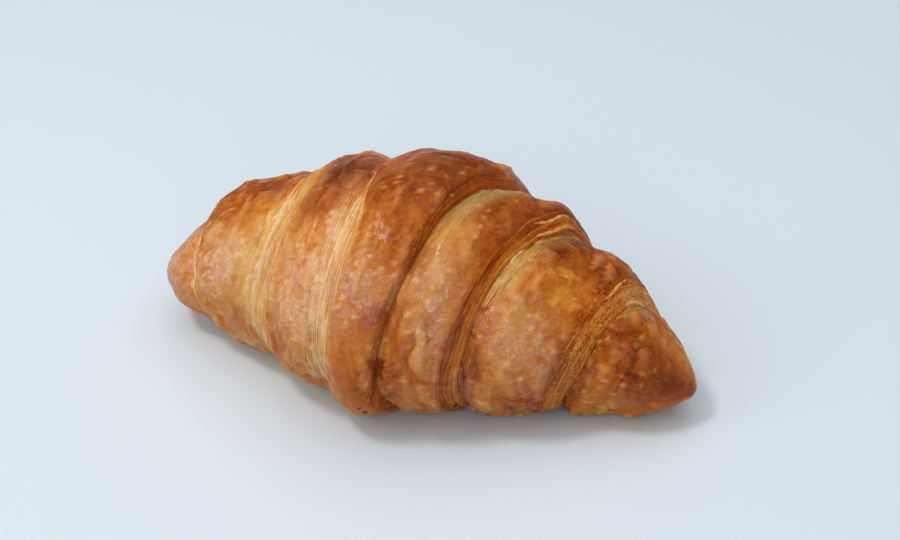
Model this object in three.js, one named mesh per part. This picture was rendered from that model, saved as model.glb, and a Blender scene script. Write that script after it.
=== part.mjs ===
// A baked croissant: one sheet of laminated dough rolled from its middle out to both tips,
// so that its edge winds round as overlapping bands with a stepped, leafy edge at each crease.
// Millimetres. x runs along the roll, -y is the front, +z is up, and it rests on z = 0.
// Round the roll, an angle of 0 is the front, 90 the top and 180 the back.
import * as THREE from "three";

// ---- driving dimensions ----
const ends = { left: -74.8, right: 78.8 };
const tipRounding = { left: 9.5, right: 15 };

// the plain roll under the creases: half its width and its height at places along x
const rollStations = [
  { x: -76, halfWidth: 7, height: 11.5 },
  { x: -68, halfWidth: 10.8, height: 18.6 },
  { x: -53, halfWidth: 18.4, height: 37.6 },
  { x: -33, halfWidth: 27.3, height: 50.6 },
  { x: -12, halfWidth: 35.5, height: 59.2 },
  { x: 8, halfWidth: 35, height: 63.1 },
  { x: 27, halfWidth: 31, height: 55.6 },
  { x: 47, halfWidth: 23, height: 41 },
  { x: 63, halfWidth: 14.5, height: 30.5 },
  { x: 78.5, halfWidth: 8.6, height: 14.5 },
];
const spineSway = [[-76, 0], [-39, 3.3], [0, -2], [39, 3.3], [78, 0]];
const tipLift = [[-76, 9], [-60, 4.4], [-40, 0], [42, 0], [78, 3]];
const axisShare = 0.46;
const footBlend = 3;

// the edge of the sheet: how far out each crease lies after so many turns round the roll,
// how wide the cut edge is and how deep the crease is there; shares split that depth
// between the wall in the crease, the sloping cut edge and the thin rim above it
const tailAngle = -75;
const windings = {
  left: {
    side: -1,
    creases: 3,
    reach: [
      [0, 7.2], [0.2, 7.6], [0.34, 8.1], [0.42, 10], [0.5, 12.8], [0.8, 21.4], [1.17, 30.9], [1.37, 32.6],
      [1.5, 36.4], [2.2, 54.5], [2.34, 58.6], [2.5, 63.5], [3, 71.5],
    ],
    edgeWidth: [
      [0, 2], [0.13, 2.2], [0.22, 4.6], [0.3, 5.4], [0.37, 5.3], [0.44, 1.6], [0.6, 1.6], [1.05, 5],
      [1.17, 6.8], [1.35, 8.4], [1.5, 8.4], [1.75, 5], [2.15, 1.4], [3, 1.2],
    ],
    depth: [
      [0, 0], [0.1, 2.6], [0.2, 1.3], [0.38, 1.1], [0.5, 1.9], [1.05, 2], [1.2, 1.2], [1.4, 1.2], [1.55, 2],
      [2.1, 1.2], [2.3, 0.9], [2.5, 1.3], [3, 0],
    ],
    shares: { wall: 0.1, edge: 0.4, rim: 0.36 },
    flank: 8,
    flankCurve: 1.8,
  },
  right: {
    side: 1,
    creases: 4,
    reach: [
      [0, 10.3], [0.08, 9.8], [0.17, 8.9], [0.25, 10.6], [0.33, 12.6], [0.42, 13.8], [0.48, 15.9],
      [0.55, 20], [0.8, 25], [1.14, 27.9], [1.25, 30.2], [1.42, 33.2], [1.5, 36], [1.58, 39.6], [2.08, 50.4],
      [2.15, 53], [2.25, 56.5], [2.5, 59.8], [3.2, 71], [4, 76.5],
    ],
    edgeWidth: [
      [0, 1.6], [0.16, 1.4], [0.36, 1.5], [0.5, 3.8], [0.8, 5], [1.14, 4.4], [1.24, 4.6], [1.42, 3.4],
      [1.6, 5.4], [2.14, 5.2], [2.25, 6], [2.45, 5.4], [3, 3.4], [4, 0.8],
    ],
    depth: [
      [0, 0], [0.1, 3.6], [0.3, 2.8], [0.5, 3], [0.8, 3], [1.1, 3.2], [1.3, 2.4], [1.6, 2.8], [2.1, 3],
      [2.35, 2], [2.8, 1.4], [3.1, 0.4], [4, 0],
    ],
    shares: { wall: 0.26, edge: 0.54, rim: 0.08 },
    flank: 8,
    flankCurve: 1.7,
  },
};
const creaseLean = { shift: 5.4, angle: 69, straightens: 6 };

// the section across a crease
const rimWidth = 0.14;
const wallFade = 0.35;
const lipFade = 3;
const leaves = { count: 3, height: 0.34, inCreases: { depth: 1.5, width: 3 } };
const leafSwing = { middle: 0.62, swing: 0.38, along: 8.5, round: 4.2 };
const leafFade = { onCovered: 0.8, onSkin: 1.2, skinShare: 0.6 };
const bandCrown = { height: 1.1, fade: 6.5, endsIn: 2.5, tipPower: 4 };

// where single bands puff out or sink, each centred at a place and an angle
const swellings = [
  { x: -56, angle: 98, height: 1.2, reach: 9, spread: 36 },
  { x: -39, angle: 100, height: -1.2, reach: 5, spread: 24 },
  { x: -36, angle: 2, height: 1.1, reach: 10, spread: 24 },
  { x: -33, angle: -25, height: 0.8, reach: 6, spread: 24 },
  { x: -17, angle: -26, height: -1.2, reach: 6, spread: 22 },
  { x: -5, angle: -34, height: 1.4, reach: 5, spread: 20 },
  { x: 2, angle: -28, height: 2.3, reach: 8, spread: 26 },
  { x: 13, angle: -30, height: -1.7, reach: 5, spread: 22 },
  { x: 20, angle: 122, height: 1.1, reach: 6, spread: 26 },
  { x: 25, angle: -30, height: 1.2, reach: 5, spread: 20 },
  { x: 31, angle: 120, height: -1.6, reach: 5, spread: 22 },
  { x: 38, angle: 116, height: 1.6, reach: 5, spread: 22 },
  { x: 46, angle: -38, height: 1.2, reach: 4, spread: 20 },
  { x: 46, angle: 45, height: 1.2, reach: 9, spread: 28 },
  { x: 55, angle: 112, height: 1.8, reach: 5, spread: 26 },
  { x: 57, angle: -30, height: -1.8, reach: 9, spread: 24 },
  { x: 69, angle: 100, height: -2.6, reach: 6, spread: 30 },
  { x: 76, angle: -38, height: -1.4, reach: 5, spread: 34 },
];
const lumpWaves = [
  { height: 0.3, alongX: 0.19, round: 3, phase: 0.7 },
  { height: 0.24, alongX: -0.31, round: 5, phase: 2.1 },
  { height: 0.18, alongX: 0.47, round: 8, phase: 4.4 },
  { height: 0.14, alongX: -0.72, round: 11, phase: 1.3 },
];

// how finely the surface is divided
const columns = 54;
const edgeRows = 6;
const lipRows = [1.1, 3];
const flankRows = [0.1, 0.34, 0.75];
const bandRows = 2;
const tipRows = 5;
const roomForOneSide = 0.45;

// ---- small helpers ----
const tiny = 1e-6;
const clamp = (value, low, high) => Math.min(high, Math.max(low, value));

// a smooth curve through [place, value] pairs, level beyond the first and the last
function smoothThrough(pairs, place) {
  const at = clamp(place, pairs[0][0], pairs[pairs.length - 1][0]);
  let i = 0;
  while (i < pairs.length - 2 && at >= pairs[i + 1][0]) i += 1;
  const slope = (a, b) => (pairs[b][1] - pairs[a][1]) / (pairs[b][0] - pairs[a][0]);
  const slopeIn = slope(Math.max(i - 1, 0), i + 1);
  const slopeOut = slope(i, Math.min(i + 2, pairs.length - 1));
  const width = pairs[i + 1][0] - pairs[i][0];
  const t = (at - pairs[i][0]) / width;
  const t2 = t * t;
  const t3 = t2 * t;
  return (
    (2 * t3 - 3 * t2 + 1) * pairs[i][1] +
    (t3 - 2 * t2 + t) * width * slopeIn +
    (3 * t2 - 2 * t3) * pairs[i + 1][1] +
    (t3 - t2) * width * slopeOut
  );
}

const halfWidths = rollStations.map((station) => [station.x, station.halfWidth]);
const heights = rollStations.map((station) => [station.x, station.height]);

// ---- the creases ----
// The angle starts at the tail, which is tucked under the front, so one full turn
// takes a crease on to where the next one begins.
function creasesAt(angle) {
  const found = [];
  for (const winding of [windings.left, windings.right]) {
    for (let i = 0; i < winding.creases; i += 1) {
      const turn = i + (angle - tailAngle) / 360;
      const upright = winding.side * smoothThrough(winding.reach, turn);
      const leanFade = 1 - Math.abs(upright / ends.right) ** creaseLean.straightens;
      const lean = creaseLean.shift * Math.sin(THREE.MathUtils.degToRad(angle - creaseLean.angle));
      found.push({
        x: upright + lean * leanFade,
        side: winding.side,
        turn,
        edge: smoothThrough(winding.edgeWidth, turn),
        shares: winding.shares,
        flank: winding.flank,
        flankCurve: winding.flankCurve,
        depth: Math.max(0, smoothThrough(winding.depth, turn)),
      });
    }
  }
  return found.sort((a, b) => a.x - b.x);
}

// How deep the surface lies under the plain roll beside one crease. On the covering band
// a rim drops to the cut edge of the sheet, which slopes down in leaves to a low wall;
// the covered band climbs out of the crease.
function depthBeside(crease, x) {
  const beyond = (x - crease.x) * crease.side;
  const { depth, edge, shares } = crease;
  const standing = Math.min(1, depth / leaves.inCreases.depth) * Math.min(1, edge / leaves.inCreases.width);
  const leaf = leaves.height * standing;
  if (beyond >= 0) {
    const climb = clamp(beyond / crease.flank, 0, 1);
    return depth * (1 - climb) ** crease.flankCurve + leaf * Math.exp(-beyond / leafFade.onCovered);
  }
  const lip = (1 - shares.wall - shares.edge - shares.rim) * depth;
  const t = -beyond / edge;
  const wall = shares.wall * depth * Math.exp(-t / wallFade);
  if (t < 1) {
    const slope = shares.edge * depth * (1 - t);
    const rim = shares.rim * depth * clamp((1 - t) / rimWidth, 0, 1);
    const swing = leafSwing.swing * Math.sin(leafSwing.along * t + leafSwing.round * crease.turn);
    const step = leaf * (leafSwing.middle + swing) * Math.cos(2 * Math.PI * leaves.count * t);
    return wall + slope + rim + lip + step;
  }
  const past = -beyond - edge;
  const lastLeaf = leafFade.skinShare * leaf * Math.exp(-past / leafFade.onSkin);
  return wall + lip * Math.exp(-past / lipFade) + lastLeaf;
}

// Between its creases a band is crowned like a cushion.
function crownAt(creases, x) {
  let crown = bandCrown.height * (1 - (x / ends.right) ** bandCrown.tipPower);
  for (const crease of creases) {
    const near = Math.exp(-(((x - crease.x) / bandCrown.fade) ** 2));
    crown *= 1 - near * Math.min(1, crease.depth / bandCrown.endsIn);
  }
  return crown;
}

function swellingAt(x, angle) {
  let height = 0;
  for (const swelling of swellings) {
    const round = ((((angle - swelling.angle) % 360) + 540) % 360) - 180;
    const along = (x - swelling.x) / swelling.reach;
    height += swelling.height * Math.exp(-(along ** 2) - (round / swelling.spread) ** 2);
  }
  const turn = THREE.MathUtils.degToRad(angle);
  for (const wave of lumpWaves) {
    height += wave.height * Math.sin(wave.alongX * x + wave.round * turn + wave.phase);
  }
  return height;
}

// ---- the surface ----
function tipRound(x) {
  const left = clamp(1 - (x - ends.left) / tipRounding.left, 0, 1);
  const right = clamp(1 - (ends.right - x) / tipRounding.right, 0, 1);
  return Math.sqrt(1 - Math.max(left, right) ** 2);
}

function smoothLess(a, b, blend) {
  const h = clamp(0.5 + (0.5 * (b - a)) / blend, 0, 1);
  return b + (a - b) * h - blend * h * (1 - h);
}

function surfacePoint(x, angle, creases) {
  const round = tipRound(x);
  const height = smoothThrough(heights, x);
  const halfWidth = smoothThrough(halfWidths, x) * round;
  const axisHeight = smoothThrough(tipLift, x) + axisShare * height;
  const halfHeight = (1 - axisShare) * height * round;
  const spine = smoothThrough(spineSway, x);
  const atTip = round < tiny;
  if (atTip) return [x, spine, axisHeight];

  const turn = THREE.MathUtils.degToRad(angle);
  const across = Math.cos(turn);
  const up = Math.sin(turn);
  const plain = 1 / Math.hypot(across / halfWidth, up / halfHeight);
  let depth = -crownAt(creases, x) - swellingAt(x, angle);
  for (const crease of creases) depth += depthBeside(crease, x);
  const radius = plain - depth * round;
  const toFloor = axisHeight / Math.max(-up, tiny);
  const kept = smoothLess(radius, toFloor, footBlend);
  return [x, spine - kept * across, axisHeight + kept * up];
}

// ---- the mesh: columns round the roll, rows that follow the creases ----
function rowsBeside(crease, goingRight, room) {
  const covering = crease.side > 0 ? !goingRight : goingRight;
  const offsets = covering
    ? Array.from({ length: edgeRows }, (_, i) => ((i + 1) / edgeRows) * crease.edge)
    : flankRows.map((share) => share * crease.flank);
  if (covering) offsets.push(...lipRows.map((past) => crease.edge + past));
  const squeeze = Math.min(1, (roomForOneSide * room) / offsets[offsets.length - 1]);
  return offsets.map((offset) => crease.x + (goingRight ? 1 : -1) * offset * squeeze);
}

function rowPlaces(creases) {
  const places = [];
  const first = creases[0];
  const last = creases[creases.length - 1];
  const tipSpacing = (i) => 1 - Math.cos((i / (tipRows + 1)) * (Math.PI / 2));
  const leftInner = rowsBeside(first, false, first.x - ends.left).reverse();
  for (let i = 1; i <= tipRows; i += 1) {
    places.push(ends.left + (leftInner[0] - ends.left) * tipSpacing(i));
  }
  places.push(...leftInner);
  for (let i = 0; i < creases.length - 1; i += 1) {
    const room = creases[i + 1].x - creases[i].x;
    const start = rowsBeside(creases[i], true, room);
    const end = rowsBeside(creases[i + 1], false, room).reverse();
    const from = start[start.length - 1];
    places.push(creases[i].x, ...start);
    for (let j = 1; j <= bandRows; j += 1) {
      places.push(from + ((end[0] - from) * j) / (bandRows + 1));
    }
    places.push(...end);
  }
  const rightInner = rowsBeside(last, true, ends.right - last.x);
  places.push(last.x, ...rightInner);
  const from = rightInner[rightInner.length - 1];
  for (let i = tipRows; i >= 1; i -= 1) {
    places.push(ends.right - (ends.right - from) * tipSpacing(i));
  }
  return places;
}

function croissantGeometry() {
  const positions = [];
  const faces = [];
  const columnRows = [];
  for (let column = 0; column < columns; column += 1) {
    const angle = tailAngle + (360 * column) / columns;
    const creases = creasesAt(angle);
    const places = rowPlaces(creases);
    columnRows.push(places.map((x) => {
      positions.push(...surfacePoint(x, angle, creases));
      return positions.length / 3 - 1;
    }));
  }
  const addTip = (x) => {
    positions.push(...surfacePoint(x, 0, []));
    return positions.length / 3 - 1;
  };
  const leftTip = addTip(ends.left);
  const rightTip = addTip(ends.right);

  const cornerOf = (vertex) => new THREE.Vector3().fromArray(positions, vertex * 3);
  const distance = (a, b) => cornerOf(a).distanceTo(cornerOf(b));
  for (let column = 0; column < columns - 1; column += 1) {
    const here = columnRows[column];
    const next = columnRows[column + 1];
    for (let row = 0; row < here.length - 1; row += 1) {
      const [a, b, c, d] = [here[row], here[row + 1], next[row + 1], next[row]];
      if (distance(a, c) < distance(b, d)) faces.push(a, b, c, a, c, d);
      else faces.push(a, b, d, b, c, d);
    }
  }

  // under the tail each crease runs on into the next one, so the last column and the
  // first are joined row by row in the order of their places along x
  const last = columnRows[columns - 1];
  const first = columnRows[0];
  const placeOf = (vertex) => positions[vertex * 3];
  let a = 0;
  let b = 0;
  while (a < last.length - 1 || b < first.length - 1) {
    const stepLast = a < last.length - 1
      && (b === first.length - 1 || placeOf(last[a + 1]) < placeOf(first[b + 1]));
    if (stepLast) {
      faces.push(last[a], last[a + 1], first[b]);
      a += 1;
    } else {
      faces.push(last[a], first[b + 1], first[b]);
      b += 1;
    }
  }

  for (let column = 0; column < columns; column += 1) {
    const here = columnRows[column];
    const next = columnRows[(column + 1) % columns];
    faces.push(leftTip, here[0], next[0]);
    faces.push(rightTip, next[next.length - 1], here[here.length - 1]);
  }

  const geometry = new THREE.BufferGeometry();
  geometry.setAttribute("position", new THREE.Float32BufferAttribute(positions, 3));
  geometry.setIndex(faces);
  return geometry;
}

// ---- the piece, with its origin at the middle of its footprint ----
const geometry = croissantGeometry();
geometry.computeBoundingBox();
const box = geometry.boundingBox;
geometry.translate(-(box.min.x + box.max.x) / 2, -(box.min.y + box.max.y) / 2, -box.min.z);
geometry.computeVertexNormals();

const crust = new THREE.MeshStandardMaterial({ color: 0xb8672a, roughness: 0.5, metalness: 0 });
const croissant = new THREE.Mesh(geometry, crust);
croissant.name = "croissant";

const group = new THREE.Group();
group.add(croissant);

export default group;
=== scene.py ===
import bpy
import math
import numpy as np
from mathutils import Matrix, Vector


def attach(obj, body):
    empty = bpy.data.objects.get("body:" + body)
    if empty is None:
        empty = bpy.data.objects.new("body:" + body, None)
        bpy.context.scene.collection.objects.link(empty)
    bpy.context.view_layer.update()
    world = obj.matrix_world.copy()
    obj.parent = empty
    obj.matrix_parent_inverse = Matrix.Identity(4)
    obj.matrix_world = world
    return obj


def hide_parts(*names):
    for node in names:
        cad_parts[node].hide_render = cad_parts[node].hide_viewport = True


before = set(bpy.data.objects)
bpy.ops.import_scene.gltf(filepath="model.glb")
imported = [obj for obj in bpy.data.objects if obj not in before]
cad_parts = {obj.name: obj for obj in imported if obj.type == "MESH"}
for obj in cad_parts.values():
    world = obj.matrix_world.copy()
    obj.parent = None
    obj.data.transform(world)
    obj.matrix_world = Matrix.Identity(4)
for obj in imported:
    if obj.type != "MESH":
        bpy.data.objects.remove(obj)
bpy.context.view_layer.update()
mm = 0.001

# the rolled dough, in millimetres and degrees: x runs along the roll, and
# round it 0 is the front, 90 the top and 180 the back
roll = {
    "leftEnd": -74.8,
    "rightEnd": 78.8,
    "leftRounding": 9.5,
    "rightRounding": 15,
    "halfWidth": [(-76, 7), (-68, 10.8), (-53, 18.4), (-33, 27.3), (-12, 35.5), (8, 35), (27, 31),
                  (47, 23), (63, 14.5), (78.5, 8.6)],
    "height": [(-76, 11.5), (-68, 18.6), (-53, 37.6), (-33, 50.6), (-12, 59.2), (8, 63.1), (27, 55.6),
               (47, 41), (63, 30.5), (78.5, 14.5)],
    "sway": [(-76, 0), (-39, 3.3), (0, -2), (39, 3.3), (78, 0)],
    "lift": [(-76, 9), (-60, 4.4), (-40, 0), (42, 0), (78, 3)],
    "axisShare": 0.46,
    "footBlend": 3,
}

# a cut edge of the dough: "across" is its tone over its width, "lip" and "reach" are millimetres
plainCut = {
    "lip": 2.8, "fuzz": 0.1, "ruddy": 0, "greenShade": 0.2, "bare": 0.3, "soft": 0.4, "lines": 0.2, "paleBrinkAndHighlight": 0,
    "atTop": 0, "across": [(0, 0), (1, 0.1)],
}

# each winding is the dough's edge going out to one tip: places by turns round the roll,
# and of each cut what differs from the plain one
windings = {
    "left": {
        "side": -1,
        "creases": 3,
        "reach": [(0, 7.2), (0.2, 7.6), (0.34, 8.1), (0.42, 10), (0.5, 12.8), (0.8, 21.4), (1.17, 30.9),
                  (1.37, 32.6), (1.5, 36.4), (2.2, 54.5), (2.34, 58.6), (2.5, 63.5), (3, 71.5)],
        "width": [(0, 2), (0.13, 2.2), (0.22, 4.6), (0.3, 5.4), (0.37, 5.3), (0.44, 1.6), (0.6, 1.6),
                  (1.05, 5), (1.17, 6.8), (1.35, 8.4), (1.5, 8.4), (1.75, 5), (2.15, 1.4), (3, 1.2)],
        "depth": [(0, 0), (0.1, 2.6), (0.2, 1.3), (0.38, 1.1), (0.5, 1.9), (1.05, 2), (1.2, 1.2),
                  (1.4, 1.2), (1.55, 2), (2.1, 1.2), (2.3, 0.9), (2.5, 1.3), (3, 0)],
        "shares": (0.1, 0.4, 0.36),
        "flank": 8,
        "flankCurve": 1.8,
        "cuts": [
            {"tone": 0.10, "reach": 6.5, "greenShade": 0.05, "bare": 0.84, "soft": 0.2, "lines": 0.8,
             "paleBrinkAndHighlight": 0.18, "atTop": 0.4, "across": [(0, 0), (0.7, 0.02), (1, 0.12)]},
            {"tone": 0.09, "fuzz": 0.25, "reach": 6.5, "greenShade": 0.05, "bare": 0.6, "soft": 0.5, "lines": 0.7,
             "paleBrinkAndHighlight": 0.34, "atTop": 0.15, "across": [(0, 0), (1, 0.08)]},
            {"tone": 0.30, "reach": 3, "greenShade": 0, "paleBrinkAndHighlight": 0.28},
        ],
        "lipToneAndShade": [(0, 0.04), (0.5, 0), (1, 0), (3, 0)],
        "coveredToneAndShade": [(0, -0.1), (0.2, -0.16), (0.42, -0.26), (0.5, 0), (1.1, -0.1), (1.35, -0.22),
                        (1.5, 0), (3, 0)],
    },
    "right": {
        "side": 1,
        "creases": 4,
        "reach": [(0, 10.3), (0.08, 9.8), (0.17, 8.9), (0.25, 10.6), (0.33, 12.6), (0.42, 13.8),
                  (0.48, 15.9), (0.55, 20), (0.8, 25), (1.14, 27.9), (1.25, 30.2), (1.42, 33.2),
                  (1.5, 36), (1.58, 39.6), (2.08, 50.4), (2.15, 53), (2.25, 56.5), (2.5, 59.8),
                  (3.2, 71), (4, 76.5)],
        "width": [(0, 1.6), (0.16, 1.4), (0.36, 1.5), (0.5, 3.8), (0.8, 5), (1.14, 4.4), (1.24, 4.6),
                  (1.42, 3.4), (1.6, 5.4), (2.14, 5.2), (2.25, 6), (2.45, 5.4), (3, 3.4), (4, 0.8)],
        "depth": [(0, 0), (0.1, 3.6), (0.3, 2.8), (0.5, 3), (0.8, 3), (1.1, 3.2), (1.3, 2.4), (1.6, 2.8),
                  (2.1, 3), (2.35, 2), (2.8, 1.4), (3.1, 0.4), (4, 0)],
        "shares": (0.26, 0.54, 0.08),
        "flank": 8,
        "flankCurve": 1.7,
        "cuts": [
            {"tone": 0.60, "lip": 1.7, "ruddy": 0.5, "reach": 9, "greenShade": 0.75,
             "across": [(0, 0.06), (1, 0)]},
            {"tone": 0.50, "ruddy": 0.6, "reach": 6, "greenShade": 0.4, "bare": 0.85, "soft": 0.25, "lines": 0.6,
             "paleBrinkAndHighlight": 0.10, "across": [(0, 0), (0.1, 0.06), (0.2, -0.1), (0.3, 0.12), (0.42, -0.06),
                                       (0.52, 0.1), (0.7, 0.2), (1, 0.12)]},
            {"tone": 0.42, "fuzz": 1.0, "ruddy": 0.5, "reach": 4.5, "bare": 0.9, "soft": 0.3, "lines": 0.7,
             "paleBrinkAndHighlight": 0.16, "atTop": -0.1,
             "across": [(0, 0), (0.3, 0.02), (0.55, -0.02), (0.8, 0.12), (1, 0.2)]},
            {"tone": 0.45, "fuzz": 0.3, "ruddy": 0.3, "reach": 4.5, "bare": 0.4, "lines": 0.3},
        ],
        # tone of the covering band's rolled lip by turns: partly caramelised, partly painted shade where it
        # rolls down into the crease
        "lipToneAndShade": [
            (0, 0.22), (0.3, 0.28), (0.38, 0.14), (0.44, 0.14), (0.5, 0.18), (1, 0.12), (1.3, 0.12),
            (2, 0.18), (2.5, 0.14), (4, 0),
        ],
        # tone of the covered flank by turns: below 0 the pale dough the oven hardly reached, above 0 painted
        # shade in the crease under the covering band
        "coveredToneAndShade": [
            (0, 0), (0.12, 0.02), (0.2, 0.16), (0.3, 0.04), (0.42, -0.04), (0.52, -0.08), (0.6, -0.05),
            (1.05, 0.24), (1.25, 0.2), (1.34, -0.06), (1.45, -0.16), (1.6, 0), (2, 0.26), (2.3, 0.14),
            (2.42, -0.04), (2.5, -0.10), (4, 0),
        ],
    },
}

crease = {
    "tailAngle": -75,
    "turnLength": 160,
    "leanShift": 5.4,
    "leanAngle": 69,
    "fullDepth": 1.5,            # a shallower or narrower crease shows its leaves less
    "fullWidth": 3,
    "leaves": 3,
    "leafHeight": 0.34,
    "leafFade": (0.8, 1.2),      # over the covered flank and over the skin
    "leafSwing": (0.62, 0.38, 8.5, 4.2),    # middle, swing, waves across, waves along
    "fineLeaves": 8,
    "fineLeafHeight": 0.11,
    "wander": [(0.9, 7, 0), (0.5, 23, 1)],  # amount, waves, phase
    "coveredLines": 0.07,
    "coveredSpacing": 1.15,
    "wallFade": 0.35,
    "lipFade": 3,
    "lipLeaf": 0.6,
    "crown": 1.1,
    "crownDepth": 2.5,
    "crownFade": 6.5,
    "rim": 0.14,
    "flankSeen": 12,
    "shadeOver": 4,
    "ruddyFade": 3.5,
    # the lighter brink line along a crease, partly a painted highlight
    "brinkFade": 0.55,
    "brinkDepth": 0.4,
    "toneWobble": [(0.05, 11, 0), (0.03, 31, 2)],
    "topFrom": 72,
    "topOver": 25,
    "greenUntil": 150,
    "greenOver": 40,
}

# single bands puff out or sink: x, angle, height, reach along x, spread in degrees
swellings = [
    (-56, 98, 1.2, 9, 36), (-39, 100, -1.2, 5, 24), (-36, 2, 1.1, 10, 24), (-33, -25, 0.8, 6, 24),
    (-17, -26, -1.2, 6, 22), (-5, -34, 1.4, 5, 20), (2, -28, 2.3, 8, 26), (13, -30, -1.7, 5, 22),
    (20, 122, 1.1, 6, 26), (25, -30, 1.2, 5, 20), (31, 120, -1.6, 5, 22), (38, 116, 1.6, 5, 22),
    (46, -38, 1.2, 4, 20), (46, 45, 1.2, 9, 28), (55, 112, 1.8, 5, 26), (57, -30, -1.8, 9, 24),
    (69, 100, -2.6, 6, 30), (76, -38, -1.4, 5, 34),
]
# height, waves along x, waves round the roll, phase
lumpWaves = [(0.3, 0.19, 3, 0.7), (0.24, -0.31, 5, 2.1), (0.18, 0.47, 8, 4.4), (0.14, -0.72, 11, 1.3)]

fineGrid = {
    "columns": 312,
    "edgeRows": 18,
    "lipPlaces": (0.5, 1.1, 1.8, 2.6, 3.6),
    "flankPlaces": (0.03, 0.08, 0.15, 0.23, 0.33, 0.45, 0.6, 0.78, 1.0),
    "bandRows": 9,
    "tipRows": 16,
    "roomShare": 0.45,           # of the way to the next crease, at most
}


def smoothThrough(pairs, places):
    # a smooth curve through (place, value) pairs, level beyond both ends
    px, py = np.array(pairs, float).T
    inner = (py[2:] - py[:-2]) / (px[2:] - px[:-2])
    first = (py[1] - py[0]) / (px[1] - px[0])
    last = (py[-1] - py[-2]) / (px[-1] - px[-2])
    slopes = np.concatenate([[first], inner, [last]])
    at = np.clip(places, px[0], px[-1])
    i = np.clip(np.searchsorted(px, at, side="right") - 1, 0, len(px) - 2)
    width = px[i + 1] - px[i]
    t = (at - px[i]) / width
    start = (2 * t**3 - 3 * t**2 + 1) * py[i] + (t**3 - 2 * t**2 + t) * width * slopes[i]
    return start + (3 * t**2 - 2 * t**3) * py[i + 1] + (t**3 - t**2) * width * slopes[i + 1]


def turnApart(angles, angle):
    # degrees from an angle, between -180 and 180
    return (angles - angle + 540) % 360 - 180


def waveSum(waves, turn):
    return sum(amount * np.sin(number * turn + phase) for amount, number, phase in waves)


def creasesAt(angles):
    # every crease from the left tip to the right one, as arrays over the angles
    found = []
    for winding in windings.values():
        for i in range(winding["creases"]):
            turn = i + (angles - crease["tailAngle"]) / 360
            upright = winding["side"] * smoothThrough(winding["reach"], turn)
            fade = 1 - np.abs(upright / roll["rightEnd"]) ** 6
            found.append({
                "side": winding["side"],
                "shares": winding["shares"],
                "tones": winding,
                "cut": plainCut | winding["cuts"][i],
                "flank": winding["flank"],
                "flankCurve": winding["flankCurve"],
                "turn": turn,
                "x": upright + crease["leanShift"] * np.sin(np.radians(angles - crease["leanAngle"])) * fade,
                "width": smoothThrough(winding["width"], turn),
                "depth": np.maximum(0, smoothThrough(winding["depth"], turn)),
            })
    return sorted(found, key=lambda one: one["x"][0])


def besideCrease(one, x):
    # depth under the plain roll, distance past the crease, share of the cut's width, and strength
    beyond = (x - one["x"]) * one["side"]
    strength = np.minimum(1, one["depth"] / crease["fullDepth"])
    strength = strength * np.minimum(1, one["width"] / crease["fullWidth"])
    leaf = crease["leafHeight"] * strength
    flankFade, skinFade = crease["leafFade"]
    climb = np.clip(beyond / one["flank"], 0, 1)
    covered = one["depth"] * (1 - climb) ** one["flankCurve"] + leaf * np.exp(-np.abs(beyond) / flankFade)
    fineLines = np.cos(2 * np.pi * beyond / crease["coveredSpacing"])
    covered += crease["coveredLines"] * strength * (1 - climb) * fineLines
    t = np.clip(-beyond / one["width"], 0, 60)
    wallShare, edgeShare, rimShare = one["shares"]
    lipShare = 1 - wallShare - edgeShare - rimShare
    wall = wallShare * one["depth"] * np.exp(-t / crease["wallFade"])
    middle, swing, across, along = crease["leafSwing"]
    uneven = middle + swing * np.sin(across * t + along * one["turn"])
    fine = crease["fineLeafHeight"] * strength * np.sin(np.pi * np.clip(t, 0, 1)) ** 0.5
    rim = rimShare * np.clip((1 - t) / crease["rim"], 0, 1)
    slope = one["depth"] * (lipShare + edgeShare * (1 - t) + rim)
    slope += leaf * uneven * np.cos(2 * np.pi * crease["leaves"] * t)
    slope += fine * np.cos(2 * np.pi * crease["fineLeaves"] * t + waveSum(crease["wander"], one["turn"]))
    past = np.maximum(0, -beyond - one["width"])
    skin = lipShare * one["depth"] * np.exp(-past / crease["lipFade"])
    skin = skin + crease["lipLeaf"] * leaf * np.exp(-past / skinFade)
    covering = wall + np.where(t < 1, slope, skin)
    return np.where(beyond >= 0, covered, covering), beyond, t, strength


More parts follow.
